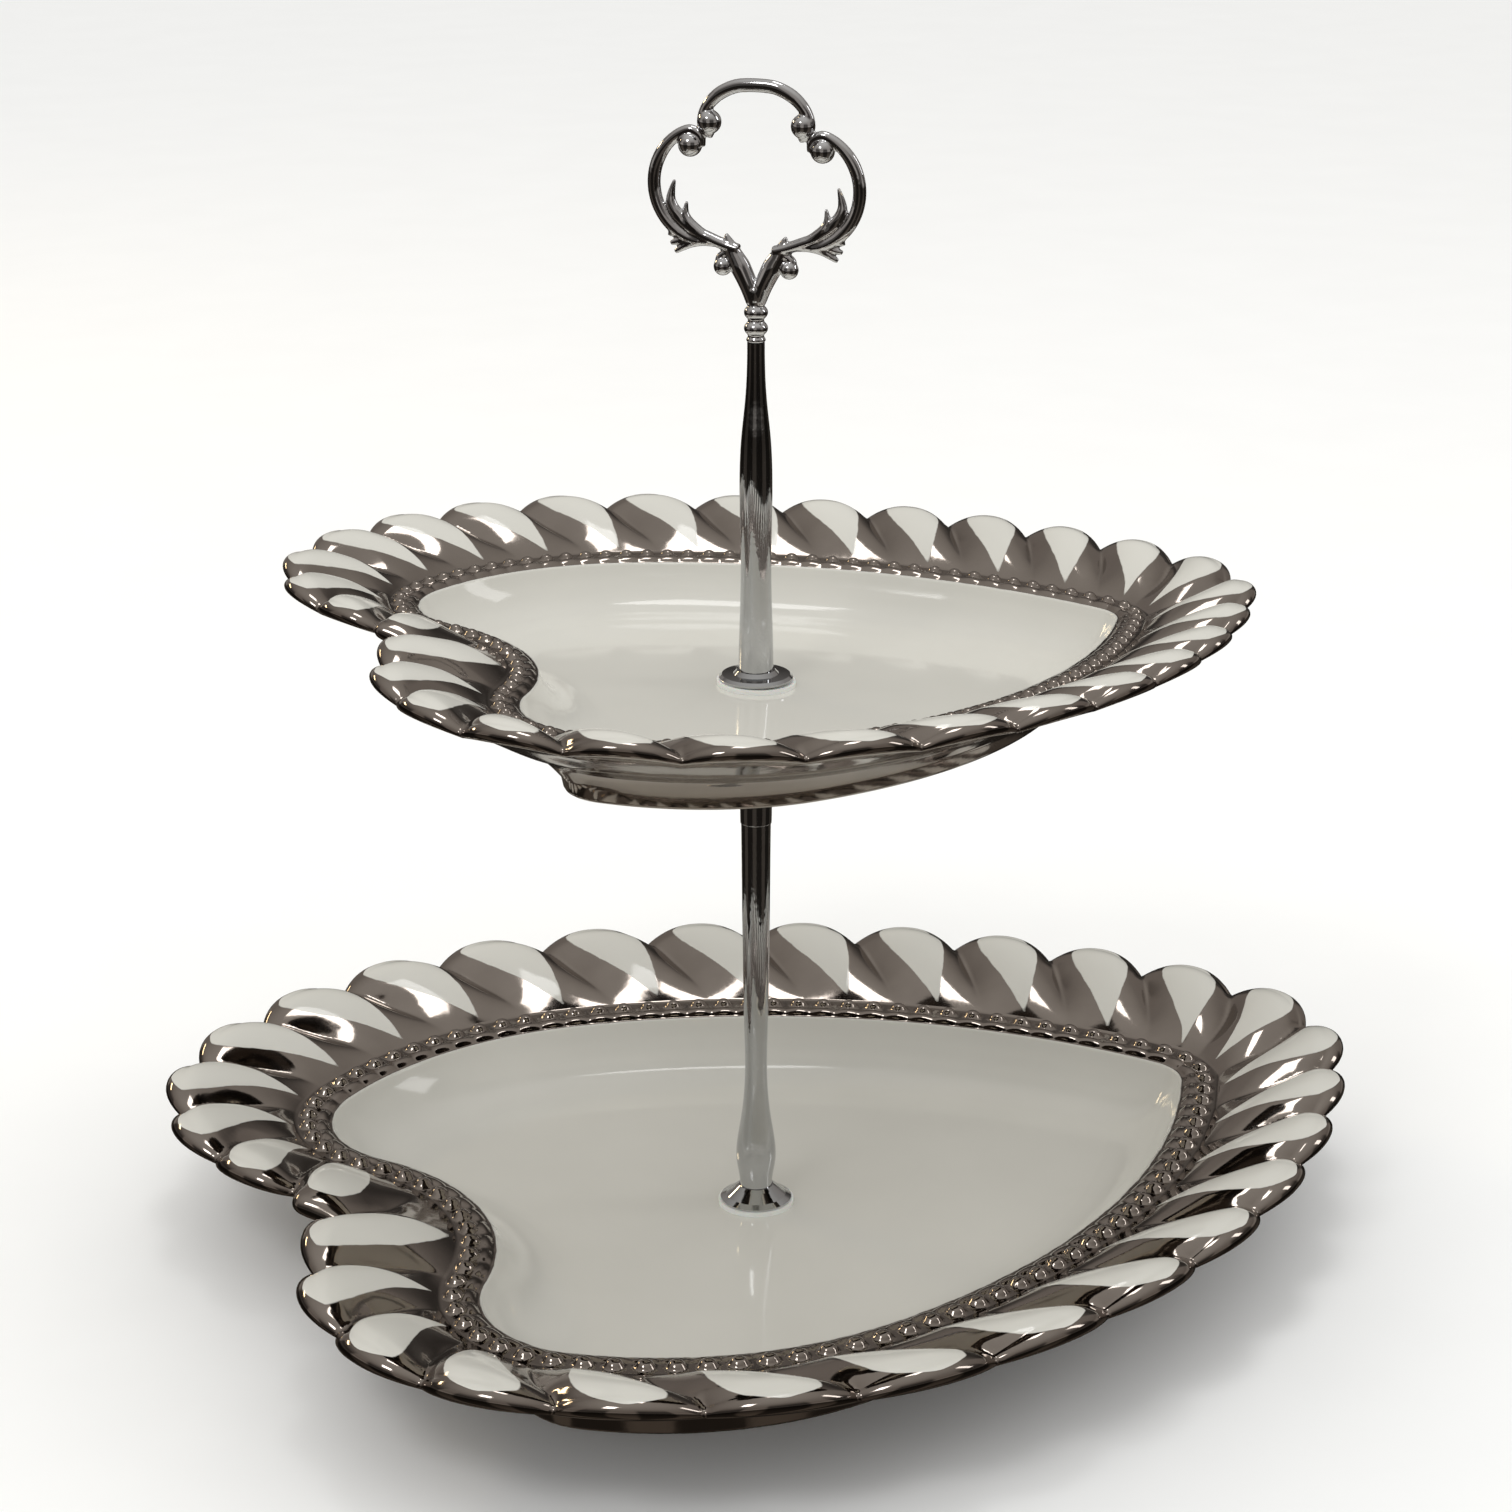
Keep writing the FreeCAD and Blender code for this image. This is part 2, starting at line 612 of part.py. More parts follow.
def handle():
    """A cast handle: three scrolls ended by balls, two leaves and curls on a stem over two beads."""
    stem = size("handle_stem") / 2
    bead = size("handle_bead") / 2
    pitch = size("handle_bead_pitch")
    collar = size("handle_collar") / 2
    bottom = -2 * pitch - 1.6
    outline = [(0, bottom), (collar - 0.4, bottom), (collar, bottom + 0.6), (collar, 0.6), (stem - 0.2, 1.4),
               (stem, 4.0), (0, 6.0)]
    points = [FreeCAD.Vector(x, 0, z) for x, z in outline]
    core = Part.Face(Part.makePolygon(points + points[:1]))
    solid = core.revolve(FreeCAD.Vector(0, 0, 0), FreeCAD.Vector(0, 0, 1), 360)
    side_x = size("side_scroll_x")
    side_z = size("side_scroll_z")
    side = size("side_scroll")
    top = size("top_scroll")
    top_z = size("handle_top") - top - size("scroll_band") / 2
    grip = size("scroll_ball")
    curl = size("curl_ball")
    pieces = [scroll(0, top_z, top, -4, 184)]
    for number in range(2):
        pieces.append(ball(0, -(number + 0.62) * pitch, bead))
    for hand in (-1, 1):
        ends = (72, 292) if hand < 0 else (-112, 108)
        pieces.append(scroll(hand * side_x, side_z, side, *ends))
        pieces.append(ball(hand * (top - grip + 1.2), top_z - 0.4, grip))
        top_ball = (hand * (top - grip + 1.2), top_z - 0.4)
        side_ball = (hand * 17.6, side_z + 10.4)
        pieces.append(ball(*side_ball, grip))
        pieces.append(tapered(top_ball, side_ball, 1.6, 1.6))
        # leaf from the crotch of the stem, out to the foot of the side scroll
        pieces.append(tapered((0, 2.4), (hand * 6.8, side_z - side + 0.6), stem - 0.3, 1.5))
        pieces.append(ball(hand * 9.0, 8.6, curl))
        pieces.append(tapered((hand * 3.6, 8.2), (hand * 9.0, 8.6), 1.5, 1.2))
        # fan of leaves outside the foot of the scroll
        pieces.append(tapered((hand * 13.0, side_z - side), (hand * 22.0, 13.2), 1.7, 0.7))
    solid = solid.multiFuse(pieces)
    radius = size("handle_stud_diameter") / 2 + size("thread_play")
    start = FreeCAD.Vector(0, 0, bottom - 1)
    bore = Part.makeCylinder(radius, 1 + size("handle_stud_fixed") + 0.3, start)
    solid = solid.cut(bore).removeSplitter()
    item = doc.addObject("Part::Feature", "handle")
    item.Label = "handle"
    item.Shape = solid.Solids[0]
    item.Placement = standing(handle_foot() + size("gap") - bottom, size("handle_turn"))
    return item


# ---------------------------------------------------------------- the stand, from the base up
def steel_washer(label, height):
    return washer(label, "metal_washer_outer", "metal_washer_bore", "metal_washer_height", height)


def soft_washer(label, thick, height):
    return washer(label, "washer_outer", "washer_bore", thick, height)


def build():
    parts = [
        base_screw(),
        steel_washer("base_washer", base_washer_top() - size("metal_washer_height")),
        soft_washer("lower_under_washer", "under_washer_height", base_washer_top()),
        plate("lower_plate", 1.0, 1.0, size("rim_width"), size("floor_height"), size("floor_thickness"),
              size("foot_inset")),
        soft_washer("lower_top_washer", "top_washer_height", size("floor_height")),
        lower_flange(),
        lower_rod(),
        steel_washer("support_washer", lower_rod_top()),
    ]
    upper_plate = plate("upper_plate", size("upper_plan"), size("upper_rise"), size("upper_rim_width"),
                        size("upper_floor_height"), size("upper_floor_thickness"),
                        size("upper_foot_inset") * size("upper_plan"))
    upper_plate.Placement = standing(upper_floor() - size("upper_floor_height"), size("upper_turn"))
    under = soft_washer("upper_under_washer", "under_washer_height",
                        upper_underside() - size("under_washer_height"))
    over = soft_washer("upper_top_washer", "top_washer_height", upper_floor())
    parts += [leant(piece) for piece in (under, upper_plate, over)]
    parts += [upper_flange(), upper_rod()]
    middle_foot = lower_rod_top() - size("stud_engaged")
    middle_length = upper_rod_foot() + size("stud_fixed") - size("gap") - middle_foot
    parts.append(stud("middle_stud", "stud_diameter", "%.9g" % middle_length, middle_foot))
    stud_foot = handle_foot() - size("handle_stud_engaged")
    stud_length = "%s + %s" % (cell("handle_stud_engaged"), cell("handle_stud_fixed"))
    parts.append(stud("handle_stud", "handle_stud_diameter", stud_length, stud_foot))
    parts.append(handle())
    doc.recompute()
    return parts


def check(parts):
    """Stop if any object failed or any piece isn't one or more valid solids."""
    for item in doc.Objects:
        if "Invalid" in item.State or "Error" in item.State:
            raise RuntimeError("%s did not build: %s" % (item.Label, item.State))
    for item in parts:
        shape = item.Shape
        if shape.isNull() or not shape.isValid() or not shape.Solids:
            raise RuntimeError("%s has no valid solid" % item.Label)


parts = build()
check(parts)
os.makedirs("parts", exist_ok=True)
for part in parts:
    part.Shape.exportStep("parts/%s.step" % part.Label)
    box = part.Shape.BoundBox
    print("%-20s %9.1f mm3  z %.2f to %.2f  x %.1f to %.1f  y %.1f to %.1f" % (
        part.Label, part.Shape.Volume, box.ZMin, box.ZMax, box.XMin, box.XMax, box.YMin, box.YMax))
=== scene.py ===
# %% [markdown]
# # A two-tier heart-shaped cake stand
# Two glazed earthenware plates are clamped on a chromed rod with a cast handle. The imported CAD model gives
# every place and size. This script gives the pieces their surfaces: the lobes and pearls of the plates, the
# scrolls of the handle, the glaze, the platinum lustre and the chrome.

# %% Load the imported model
import json
import math

import bpy
import numpy as np
from mathutils import Matrix, Vector


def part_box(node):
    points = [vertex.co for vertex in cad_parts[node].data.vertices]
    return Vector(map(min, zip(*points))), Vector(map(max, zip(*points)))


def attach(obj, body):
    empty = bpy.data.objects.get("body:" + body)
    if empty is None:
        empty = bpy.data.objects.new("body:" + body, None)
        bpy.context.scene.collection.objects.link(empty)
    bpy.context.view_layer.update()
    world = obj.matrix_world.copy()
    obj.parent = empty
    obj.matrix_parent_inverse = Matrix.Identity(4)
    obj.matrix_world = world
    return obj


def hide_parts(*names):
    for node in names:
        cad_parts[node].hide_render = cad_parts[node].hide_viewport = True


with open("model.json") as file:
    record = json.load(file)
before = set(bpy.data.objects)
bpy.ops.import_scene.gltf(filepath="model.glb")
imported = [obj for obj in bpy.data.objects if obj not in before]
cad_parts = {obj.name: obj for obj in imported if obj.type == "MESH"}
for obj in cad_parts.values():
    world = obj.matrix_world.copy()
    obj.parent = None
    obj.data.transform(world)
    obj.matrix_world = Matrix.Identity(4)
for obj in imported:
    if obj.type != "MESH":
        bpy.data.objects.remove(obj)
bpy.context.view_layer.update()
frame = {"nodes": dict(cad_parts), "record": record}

MM = 0.001

# %% [markdown]
# ## Colours and nodes
# Every colour below is an sRGB hex value, as a maker would note it from a glaze chart. Blender's shaders work
# in linear light, so one function turns them. One more adds a node with its settings and links, which keeps
# each material short enough to read from top to bottom, and one puts an object in the scene.

# %% Helpers for materials and objects
def linear(hex_colour):
    """An sRGB hex colour as linear RGBA."""
    parts = [int(hex_colour[i:i + 2], 16) / 255 for i in (1, 3, 5)]
    return [c / 12.92 if c <= 0.04045 else ((c + 0.055) / 1.055) ** 2.4 for c in parts] + [1.0]


def add(tree, kind, inputs=None, **settings):
    """Add a shader node. An input given as another node's output is linked, anything else is its value."""
    node = tree.nodes.new("ShaderNode" + kind)
    for name, value in settings.items():
        setattr(node, name, value)
    for name, value in (inputs or {}).items():
        if isinstance(value, bpy.types.NodeSocket):
            tree.links.new(value, node.inputs[name])
        else:
            node.inputs[name].default_value = value
    return node


def new_material(name):
    """An empty node material and its tree."""
    material = bpy.data.materials.new(name)
    material.use_nodes = True
    material.node_tree.nodes.clear()
    return material, material.node_tree


def new_object(name, data):
    """An object holding the given data, linked to the scene."""
    made = bpy.data.objects.new(name, data)
    bpy.context.scene.collection.objects.link(made)
    return made


def noise_at(tree, size_mm, detail=3.0):
    """Soft noise whose lumps are about size_mm across, fixed to the object."""
    place = add(tree, "TexCoord").outputs["Object"]
    return add(tree, "TexNoise", {"Vector": place, "Scale": 1 / (size_mm * MM), "Detail": detail}).outputs[0]


def ranged(tree, value, low, high):
    """A 0 to 1 value moved to the range low to high."""
    return add(tree, "MapRange", {0: value, 1: 0.0, 2: 1.0, 3: low, 4: high}).outputs[0]

# %% [markdown]
# ## Glazed earthenware with platinum lustre
# The plates are cast earthenware under a cream gloss glaze. The lobes' flanks, the pearls and the outside are
# painted with platinum lustre, a film of metal fired on top of the glaze, so it mirrors the room in a warm
# grey but shows no relief of its own. Both finishes are one material: the mesh carries `cream`, the distance
# in millimetres to the edge of the paint, and the shader switches where it crosses zero. A mesh value keeps
# the painted edge crisp at any distance, where a texture would blur.

# %% The plates' material
def glazed_ware(name):
    """Cream gloss glaze with platinum lustre where the mesh's `cream` value is below zero."""
    material, tree = new_material(name)
    edge = add(tree, "Attribute", attribute_name="cream").outputs["Fac"]
    wobble = ranged(tree, noise_at(tree, 5.0), -0.30, 0.30)  # a brushed edge wanders by a third of a mm
    painted = add(tree, "Math", {0: edge, 1: wobble}, operation="ADD").outputs[0]
    cream = add(tree, "MapRange", {0: painted, 1: -0.12, 2: 0.12}).outputs[0]
    bare = add(tree, "Attribute", attribute_name="bare").outputs["Fac"]
    # gloss glaze: even cream that pools a little greyer in wide soft patches
    pooled = noise_at(tree, 38.0, 2.0)
    glaze_colour = add(tree, "Mix", {0: pooled, 6: linear("#c8c6be"), 7: linear("#d2d0c8")}, data_type="RGBA")
    glaze_gloss = ranged(tree, noise_at(tree, 9.0), 0.055, 0.10)
    ripple = add(tree, "Bump", {"Height": noise_at(tree, 14.0, 1.0), "Strength": 0.05, "Distance": 0.6 * MM})
    glaze = add(tree, "BsdfPrincipled", {
        "Base Color": glaze_colour.outputs[2], "Roughness": glaze_gloss, "IOR": 1.5,
        "Normal": ripple.outputs[0]})
    # platinum lustre: a thin brushed film, so its tone drifts and it is never a perfect mirror
    brushed = noise_at(tree, 11.0, 4.0)
    film = add(tree, "Mix", {0: brushed, 6: linear("#8f867f"), 7: linear("#a39a92")}, data_type="RGBA")
    film_gloss = ranged(tree, noise_at(tree, 4.0, 5.0), 0.05, 0.12)
    film_ripple = add(tree, "Bump", {
        "Height": noise_at(tree, 6.0, 2.0), "Strength": 0.10, "Distance": 0.4 * MM})
    lustre = add(tree, "BsdfPrincipled", {
        "Base Color": film.outputs[2], "Metallic": 1.0, "Roughness": film_gloss,
        "Normal": film_ripple.outputs[0]})
    # the foot is wiped clean of glaze, so it shows the fired clay
    grog = noise_at(tree, 0.8, 4.0)
    clay_colour = add(tree, "Mix", {0: grog, 6: linear("#cfc6b6"), 7: linear("#e2dac9")}, data_type="RGBA")
    clay = add(tree, "BsdfPrincipled", {"Base Color": clay_colour.outputs[2], "Roughness": 0.85})
    shiny = add(tree, "MixShader", {0: cream, 1: lustre.outputs[0], 2: glaze.outputs[0]})
    whole = add(tree, "MixShader", {0: bare, 1: shiny.outputs[0], 2: clay.outputs[0]})
    add(tree, "OutputMaterial", {"Surface": whole.outputs[0]})
    return material


plate_ware = glazed_ware("gloss_glaze_and_platinum_lustre")
print("material:", plate_ware.name)

# %% [markdown]
# ## Chrome, zinc and polyethylene
# The rods and the handle are polished and chromed. Chrome is a near-white mirror with a slightly cool tone;
# what makes it read as chrome is what it reflects. A turned rod keeps faint rings from the polishing wheel,
# and a die casting keeps soft waves instead. The screw, the studs and their washers are zinc-plated steel,
# duller and greyer, and the four soft washers are milky polyethylene.

# %% Materials of the fittings
def plated(name, dark, light, gloss, wave_mm, depth_mm, rings=False):
    """A plated metal: colour from dark to light, gloss (low, high), and fine relief of a given size."""
    material, tree = new_material(name)
    tone = add(tree, "Mix", {0: noise_at(tree, 7.0), 6: linear(dark), 7: linear(light)}, data_type="RGBA")
    if rings:
        place = add(tree, "TexCoord").outputs["Object"]
        bands = add(tree, "TexWave", {"Vector": place, "Scale": 1 / (wave_mm * MM) / 20, "Distortion": 1.5},
                    bands_direction="Z")
        relief = bands.outputs["Fac"]
    else:
        relief = noise_at(tree, wave_mm, 2.0)
    bump = add(tree, "Bump", {"Height": relief, "Strength": 0.12, "Distance": depth_mm * MM})
    metal = add(tree, "BsdfPrincipled", {
        "Base Color": tone.outputs[2], "Metallic": 1.0,
        "Roughness": ranged(tree, noise_at(tree, 3.0, 5.0), *gloss), "Normal": bump.outputs[0]})
    add(tree, "OutputMaterial", {"Surface": metal.outputs[0]})
    return material


def milky_plastic(name):
    """Moulded polyethylene: milky white, a little light passes into it."""
    material, tree = new_material(name)
    tone = add(tree, "Mix", {0: noise_at(tree, 4.0), 6: linear("#e2e2dd"), 7: linear("#efefeb")},
               data_type="RGBA")
    skin = add(tree, "Bump", {"Height": noise_at(tree, 0.5, 3.0), "Strength": 0.15, "Distance": 0.05 * MM})
    plastic = add(tree, "BsdfPrincipled", {
        "Base Color": tone.outputs[2], "Roughness": 0.42, "IOR": 1.51, "Subsurface Weight": 0.15,
        "Subsurface Scale": 1.0 * MM, "Normal": skin.outputs[0]})
    add(tree, "OutputMaterial", {"Surface": plastic.outputs[0]})
    return material


rod_chrome = plated("chromed_turned_steel", "#b6b7b9", "#c4c5c6", (0.03, 0.09), 0.35, 0.01, rings=True)
cast_chrome = plated("chromed_die_cast_zinc", "#cfcfd1", "#dcdcdd", (0.04, 0.11), 2.5, 0.05)
zinc = plated("zinc_plated_steel", "#9f9f9c", "#b4b4b0", (0.28, 0.45), 0.6, 0.03)
soft_plastic = milky_plastic("moulded_polyethylene")
FINISHES = {"chrome_rod": rod_chrome, "zinc_steel": zinc, "soft_washer": soft_plastic}
kept = 0
for part in frame["record"]["subparts"]:
    finish = FINISHES.get(part["material_slot"])
    if finish:
        for slot in frame["nodes"][part["node"]].material_slots:
            slot.material = finish
        kept += 1
print("CAD pieces that keep their shape and get a finish:", kept)

# %% [markdown]
# ## The heart
# A potter's heart is drawn with a compass: a small round tip, a long side, a fuller flank, a round shoulder
# and a hollow notch, each arc tangent to the next, mirrored on the middle line. Moving the outline outwards
# adds the same distance to every radius and keeps the arcs tangent, so one function draws the well, the
# pearls and the lobes. The radii repeat the CAD model's driving dimensions, in millimetres.

# %% Points on the heart at any distance from the pearl line
TIP, SIDE, FLANK, SHOULDER, NOTCH = 20.0, 217.6, 107.7, 37.4, 59.0
TIP_CENTRE = 121.0
SIDE_START, FLANK_START, SHOULDER_START = (math.radians(a) for a in (32.1, 80.1, 127.5))
LEAST = 6.0          # no arc gets tighter than this


def arc_centres():
    """Centres of the side, flank and shoulder arcs: each lies on the radius it shares with the arc before."""
    x, y = TIP_CENTRE, 0.0
    centres = []
    for turn, radius, following in ((SIDE_START, TIP, SIDE), (FLANK_START, SIDE, FLANK),
                                    (SHOULDER_START, FLANK, SHOULDER)):
        x += math.cos(turn) * (radius - following)
        y += math.sin(turn) * (radius - following)
        centres.append((x, y))
    return centres


def heart(offset, piece, share, plan):
    """Points (x, y) at offset mm outside the pearl line, and the length of the arc each lies on.

    piece is the arc, 0 to 7 round the heart, and share is how far along it, 0 to 1.
    """
    offset = np.asarray(offset, float)
    side, flank, shoulder = [(x * plan, y * plan) for x, y in arc_centres()]
    tip_radius = np.maximum(TIP * plan + offset, LEAST * plan)
    tip_x = side[0] + np.sqrt((SIDE * plan + offset - tip_radius) ** 2 - side[1] ** 2)
    tip_end = np.arctan2(-side[1], tip_x - side[0])
    notch_radius = np.maximum(NOTCH * plan - offset, LEAST * plan)
    notch_x = shoulder[0] - np.sqrt((SHOULDER * plan + offset + notch_radius) ** 2 - shoulder[1] ** 2)
    notch_end = np.arctan2(-shoulder[1], notch_x - shoulder[0]) % (2 * math.pi)
    arcs = [
        (tip_x, 0.0, tip_radius, -tip_end, tip_end),
        (*side, SIDE * plan + offset, tip_end, FLANK_START),
        (*flank, FLANK * plan + offset, FLANK_START, SHOULDER_START),
        (*shoulder, SHOULDER * plan + offset, SHOULDER_START, notch_end),
        (notch_x, 0.0, notch_radius, notch_end - math.pi, math.pi - notch_end),
    ]
    for x, y, radius, start, end in reversed(arcs[1:4]):
        arcs.append((x, -y, radius, -end, -start))
    chosen = np.zeros((3,) + np.broadcast(offset, share).shape)
    for number, (x, y, radius, start, end) in enumerate(arcs):
        angle = start + (end - start) * share
        here = np.broadcast_to(piece == number, chosen[0].shape)
        values = [x + radius * np.cos(angle), y + radius * np.sin(angle), radius * np.abs(end - start)]
        for row, value in zip(chosen, values):
            row[here] = np.broadcast_to(value, here.shape)[here]
    return chosen


def arc_lengths(offset, plan):
    """Length of each of the eight arcs at one offset."""
    pieces = np.arange(8)
    return heart(np.full(8, offset), pieces, np.full(8, 0.5), plan)[2]


print("pearl line, mm round:", round(arc_lengths(0.0, 1.0).sum(), 1))

# %% [markdown]
# ## Columns round a plate
# The plate's skin is a grid: columns run round the heart and rows run from the hole over the rim and back
# underneath. Columns must be dense at the lobes and at the pearls, which are spread along different lines:
# in the notch the pearl line is three times as long as the rim's edge. Spacing the columns by the mean of
# the two lines serves both. A modeller sets lobes out by eye, so they aren't evenly spaced: they drift by up
# to about a quarter of a lobe on the way round.

# %% Spread the columns
LOBES, PEARLS = 30, 100
LOBE_LINE = 30.0     # the lobes are spaced along the line this far outside the pearls
LOBE_PHASE, LOBE_SWING, LOBE_CROWDING = 0.06, 0.25, 0.22  # start and drift, in lobes
NOTCH_WINDOW = 0.02  # how near the notch, as a share of the way round, a lobe counts as standing in it


def spread_columns(count, plan):
    """Per column: its arc, share along the arc, lobe and pearl coordinates, closeness to the notch."""
    outer, inner = arc_lengths(LOBE_LINE * plan, plan), arc_lengths(0.0, plan)
    weight = 0.5 * (outer / outer.sum() + inner / inner.sum())
    ends = np.concatenate([[0.0], np.cumsum(weight)])
    place = (np.arange(count) + 0.5) / count
    piece = np.clip(np.searchsorted(ends, place, side="right") - 1, 0, 7)
    share = (place - ends[piece]) / weight[piece]
    along = [(np.concatenate([[0.0], np.cumsum(line)])[piece] + share * line[piece]) / line.sum()
             for line in (outer, inner)]
    round_way = along[0] - 0.5 * outer[0] / outer.sum()
    drift = LOBE_SWING * np.cos(2 * math.pi * round_way) - LOBE_CROWDING * np.sin(4 * math.pi * round_way)
    lobe = round_way * LOBES - LOBE_PHASE - drift
    return piece, share, lobe, along[1] * PEARLS, np.exp(-((round_way - 0.5) / NOTCH_WINDOW) ** 2)


# %% [markdown]
# ## Relief of the rim
# Each lobe is a leaf-like swelling: round across, with a sharp valley on each side, tallest at its outer end
# and fading into a smooth channel beside the pearls. The lobes lean, so a crest moves round the plate as it
# runs outwards. The pearls are small domes, and inside each a flute runs down to the well. All of it is a
# height added to a smooth profile, which a thrower's rib and a carver's loop tool would leave in that order.
# The sizes below are the large plate's, in millimetres. Plan sizes shrink with the small plate's plan and
# heights with its rise.

# %% Profile and relief functions
def smooth(low, high, value):
    """0 below low, 1 above high, an S-curve between."""
    x = np.clip((value - low) / (high - low), 0, 1)
    return x * x * (3 - 2 * x)


def smooth_line(points, count):
    """count points on a soft curve through a few (x, z) points."""
    points = np.array([points[0], *points, points[-1]], float)
    spans = len(points) - 3
    out = []
    for place in np.linspace(0, spans, count):
        i = min(int(place), spans - 1)
        f = place - i
        a, b, c, d = points[i:i + 4]
        out.append(0.5 * (2 * b + (c - a) * f + (2 * a - 5 * b + 4 * c - d) * f ** 2
                          + (3 * b - a - 3 * c + d) * f ** 3))
    return np.array(out)


WELL_WALL = 20.8     # width of the well's curved wall
PEARL_BAND = 6.2     # width of the fluted band, from the wall to the pearl line
WELL_DROP = 15.7     # pearls' ledge over the well's floor
RIM_CLIMB = 12.7     # crests over the ledge
LEDGE_SUNK = 0.35    # how far the ledge lies under its nominal height
FLUTE = 0.5          # height of a flute
PEARL_PITCH = 7.57   # from one pearl to the next
PEARL_OUT = 0.3      # pearls' middles, outside the pearl line
PEARL_LONG, PEARL_WIDE, PEARL_TALL = 2.4, 2.5, 2.1  # half sizes of a pearl, and its height
RIM_START = 3.9      # where the lobes begin, outside the pearl line
LOBE_WIDTH = 30.0    # about the width of a lobe, to turn shares of a lobe into mm
LOBE_LEAN = 0.62     # pitches a crest moves round from the pearls to the edge
LOBE_DEPTH = 5.5     # how far a lobe stands out past the valleys, in plan
LOBE_RELIEF = 5.2    # crest over valley
NOTCH_REACH = 4.5    # how much further the lobe in the notch stands out
NOSE = 4.3           # how far the rounded edge reaches out at a crest
NOSE_FLAT = 0.70     # half the height of the rounded edge, over its reach
NOSE_VALLEY = 1.9    # how far it reaches out in a valley
LEVEL_FROM = 0.88    # share of the rim's width where a lobe stops rising and starts to curl over


def across_lobe(lobe, t):
    """-0.5 to 0.5 across the lobe, 0 on its crest, at rim share t."""
    leaned = lobe + LOBE_LEAN * (1 - t)
    return leaned - np.round(leaned)


def swelling(p):
    """Round across a lobe, 1 on the crest and 0 in the valleys."""
    return 1 - np.abs(2 * p) ** 2.2

# %% [markdown]
# ## Building a plate
# The rows are made in order as (offset, height) pairs, one array for each stretch: hole, floor, well wall,
# pearl band, rim, rounded edge, underside, foot and recess. Then one function joins neighbouring rows and
# columns with quads. The last row meets the first through the hole, so the skin closes without a seam.

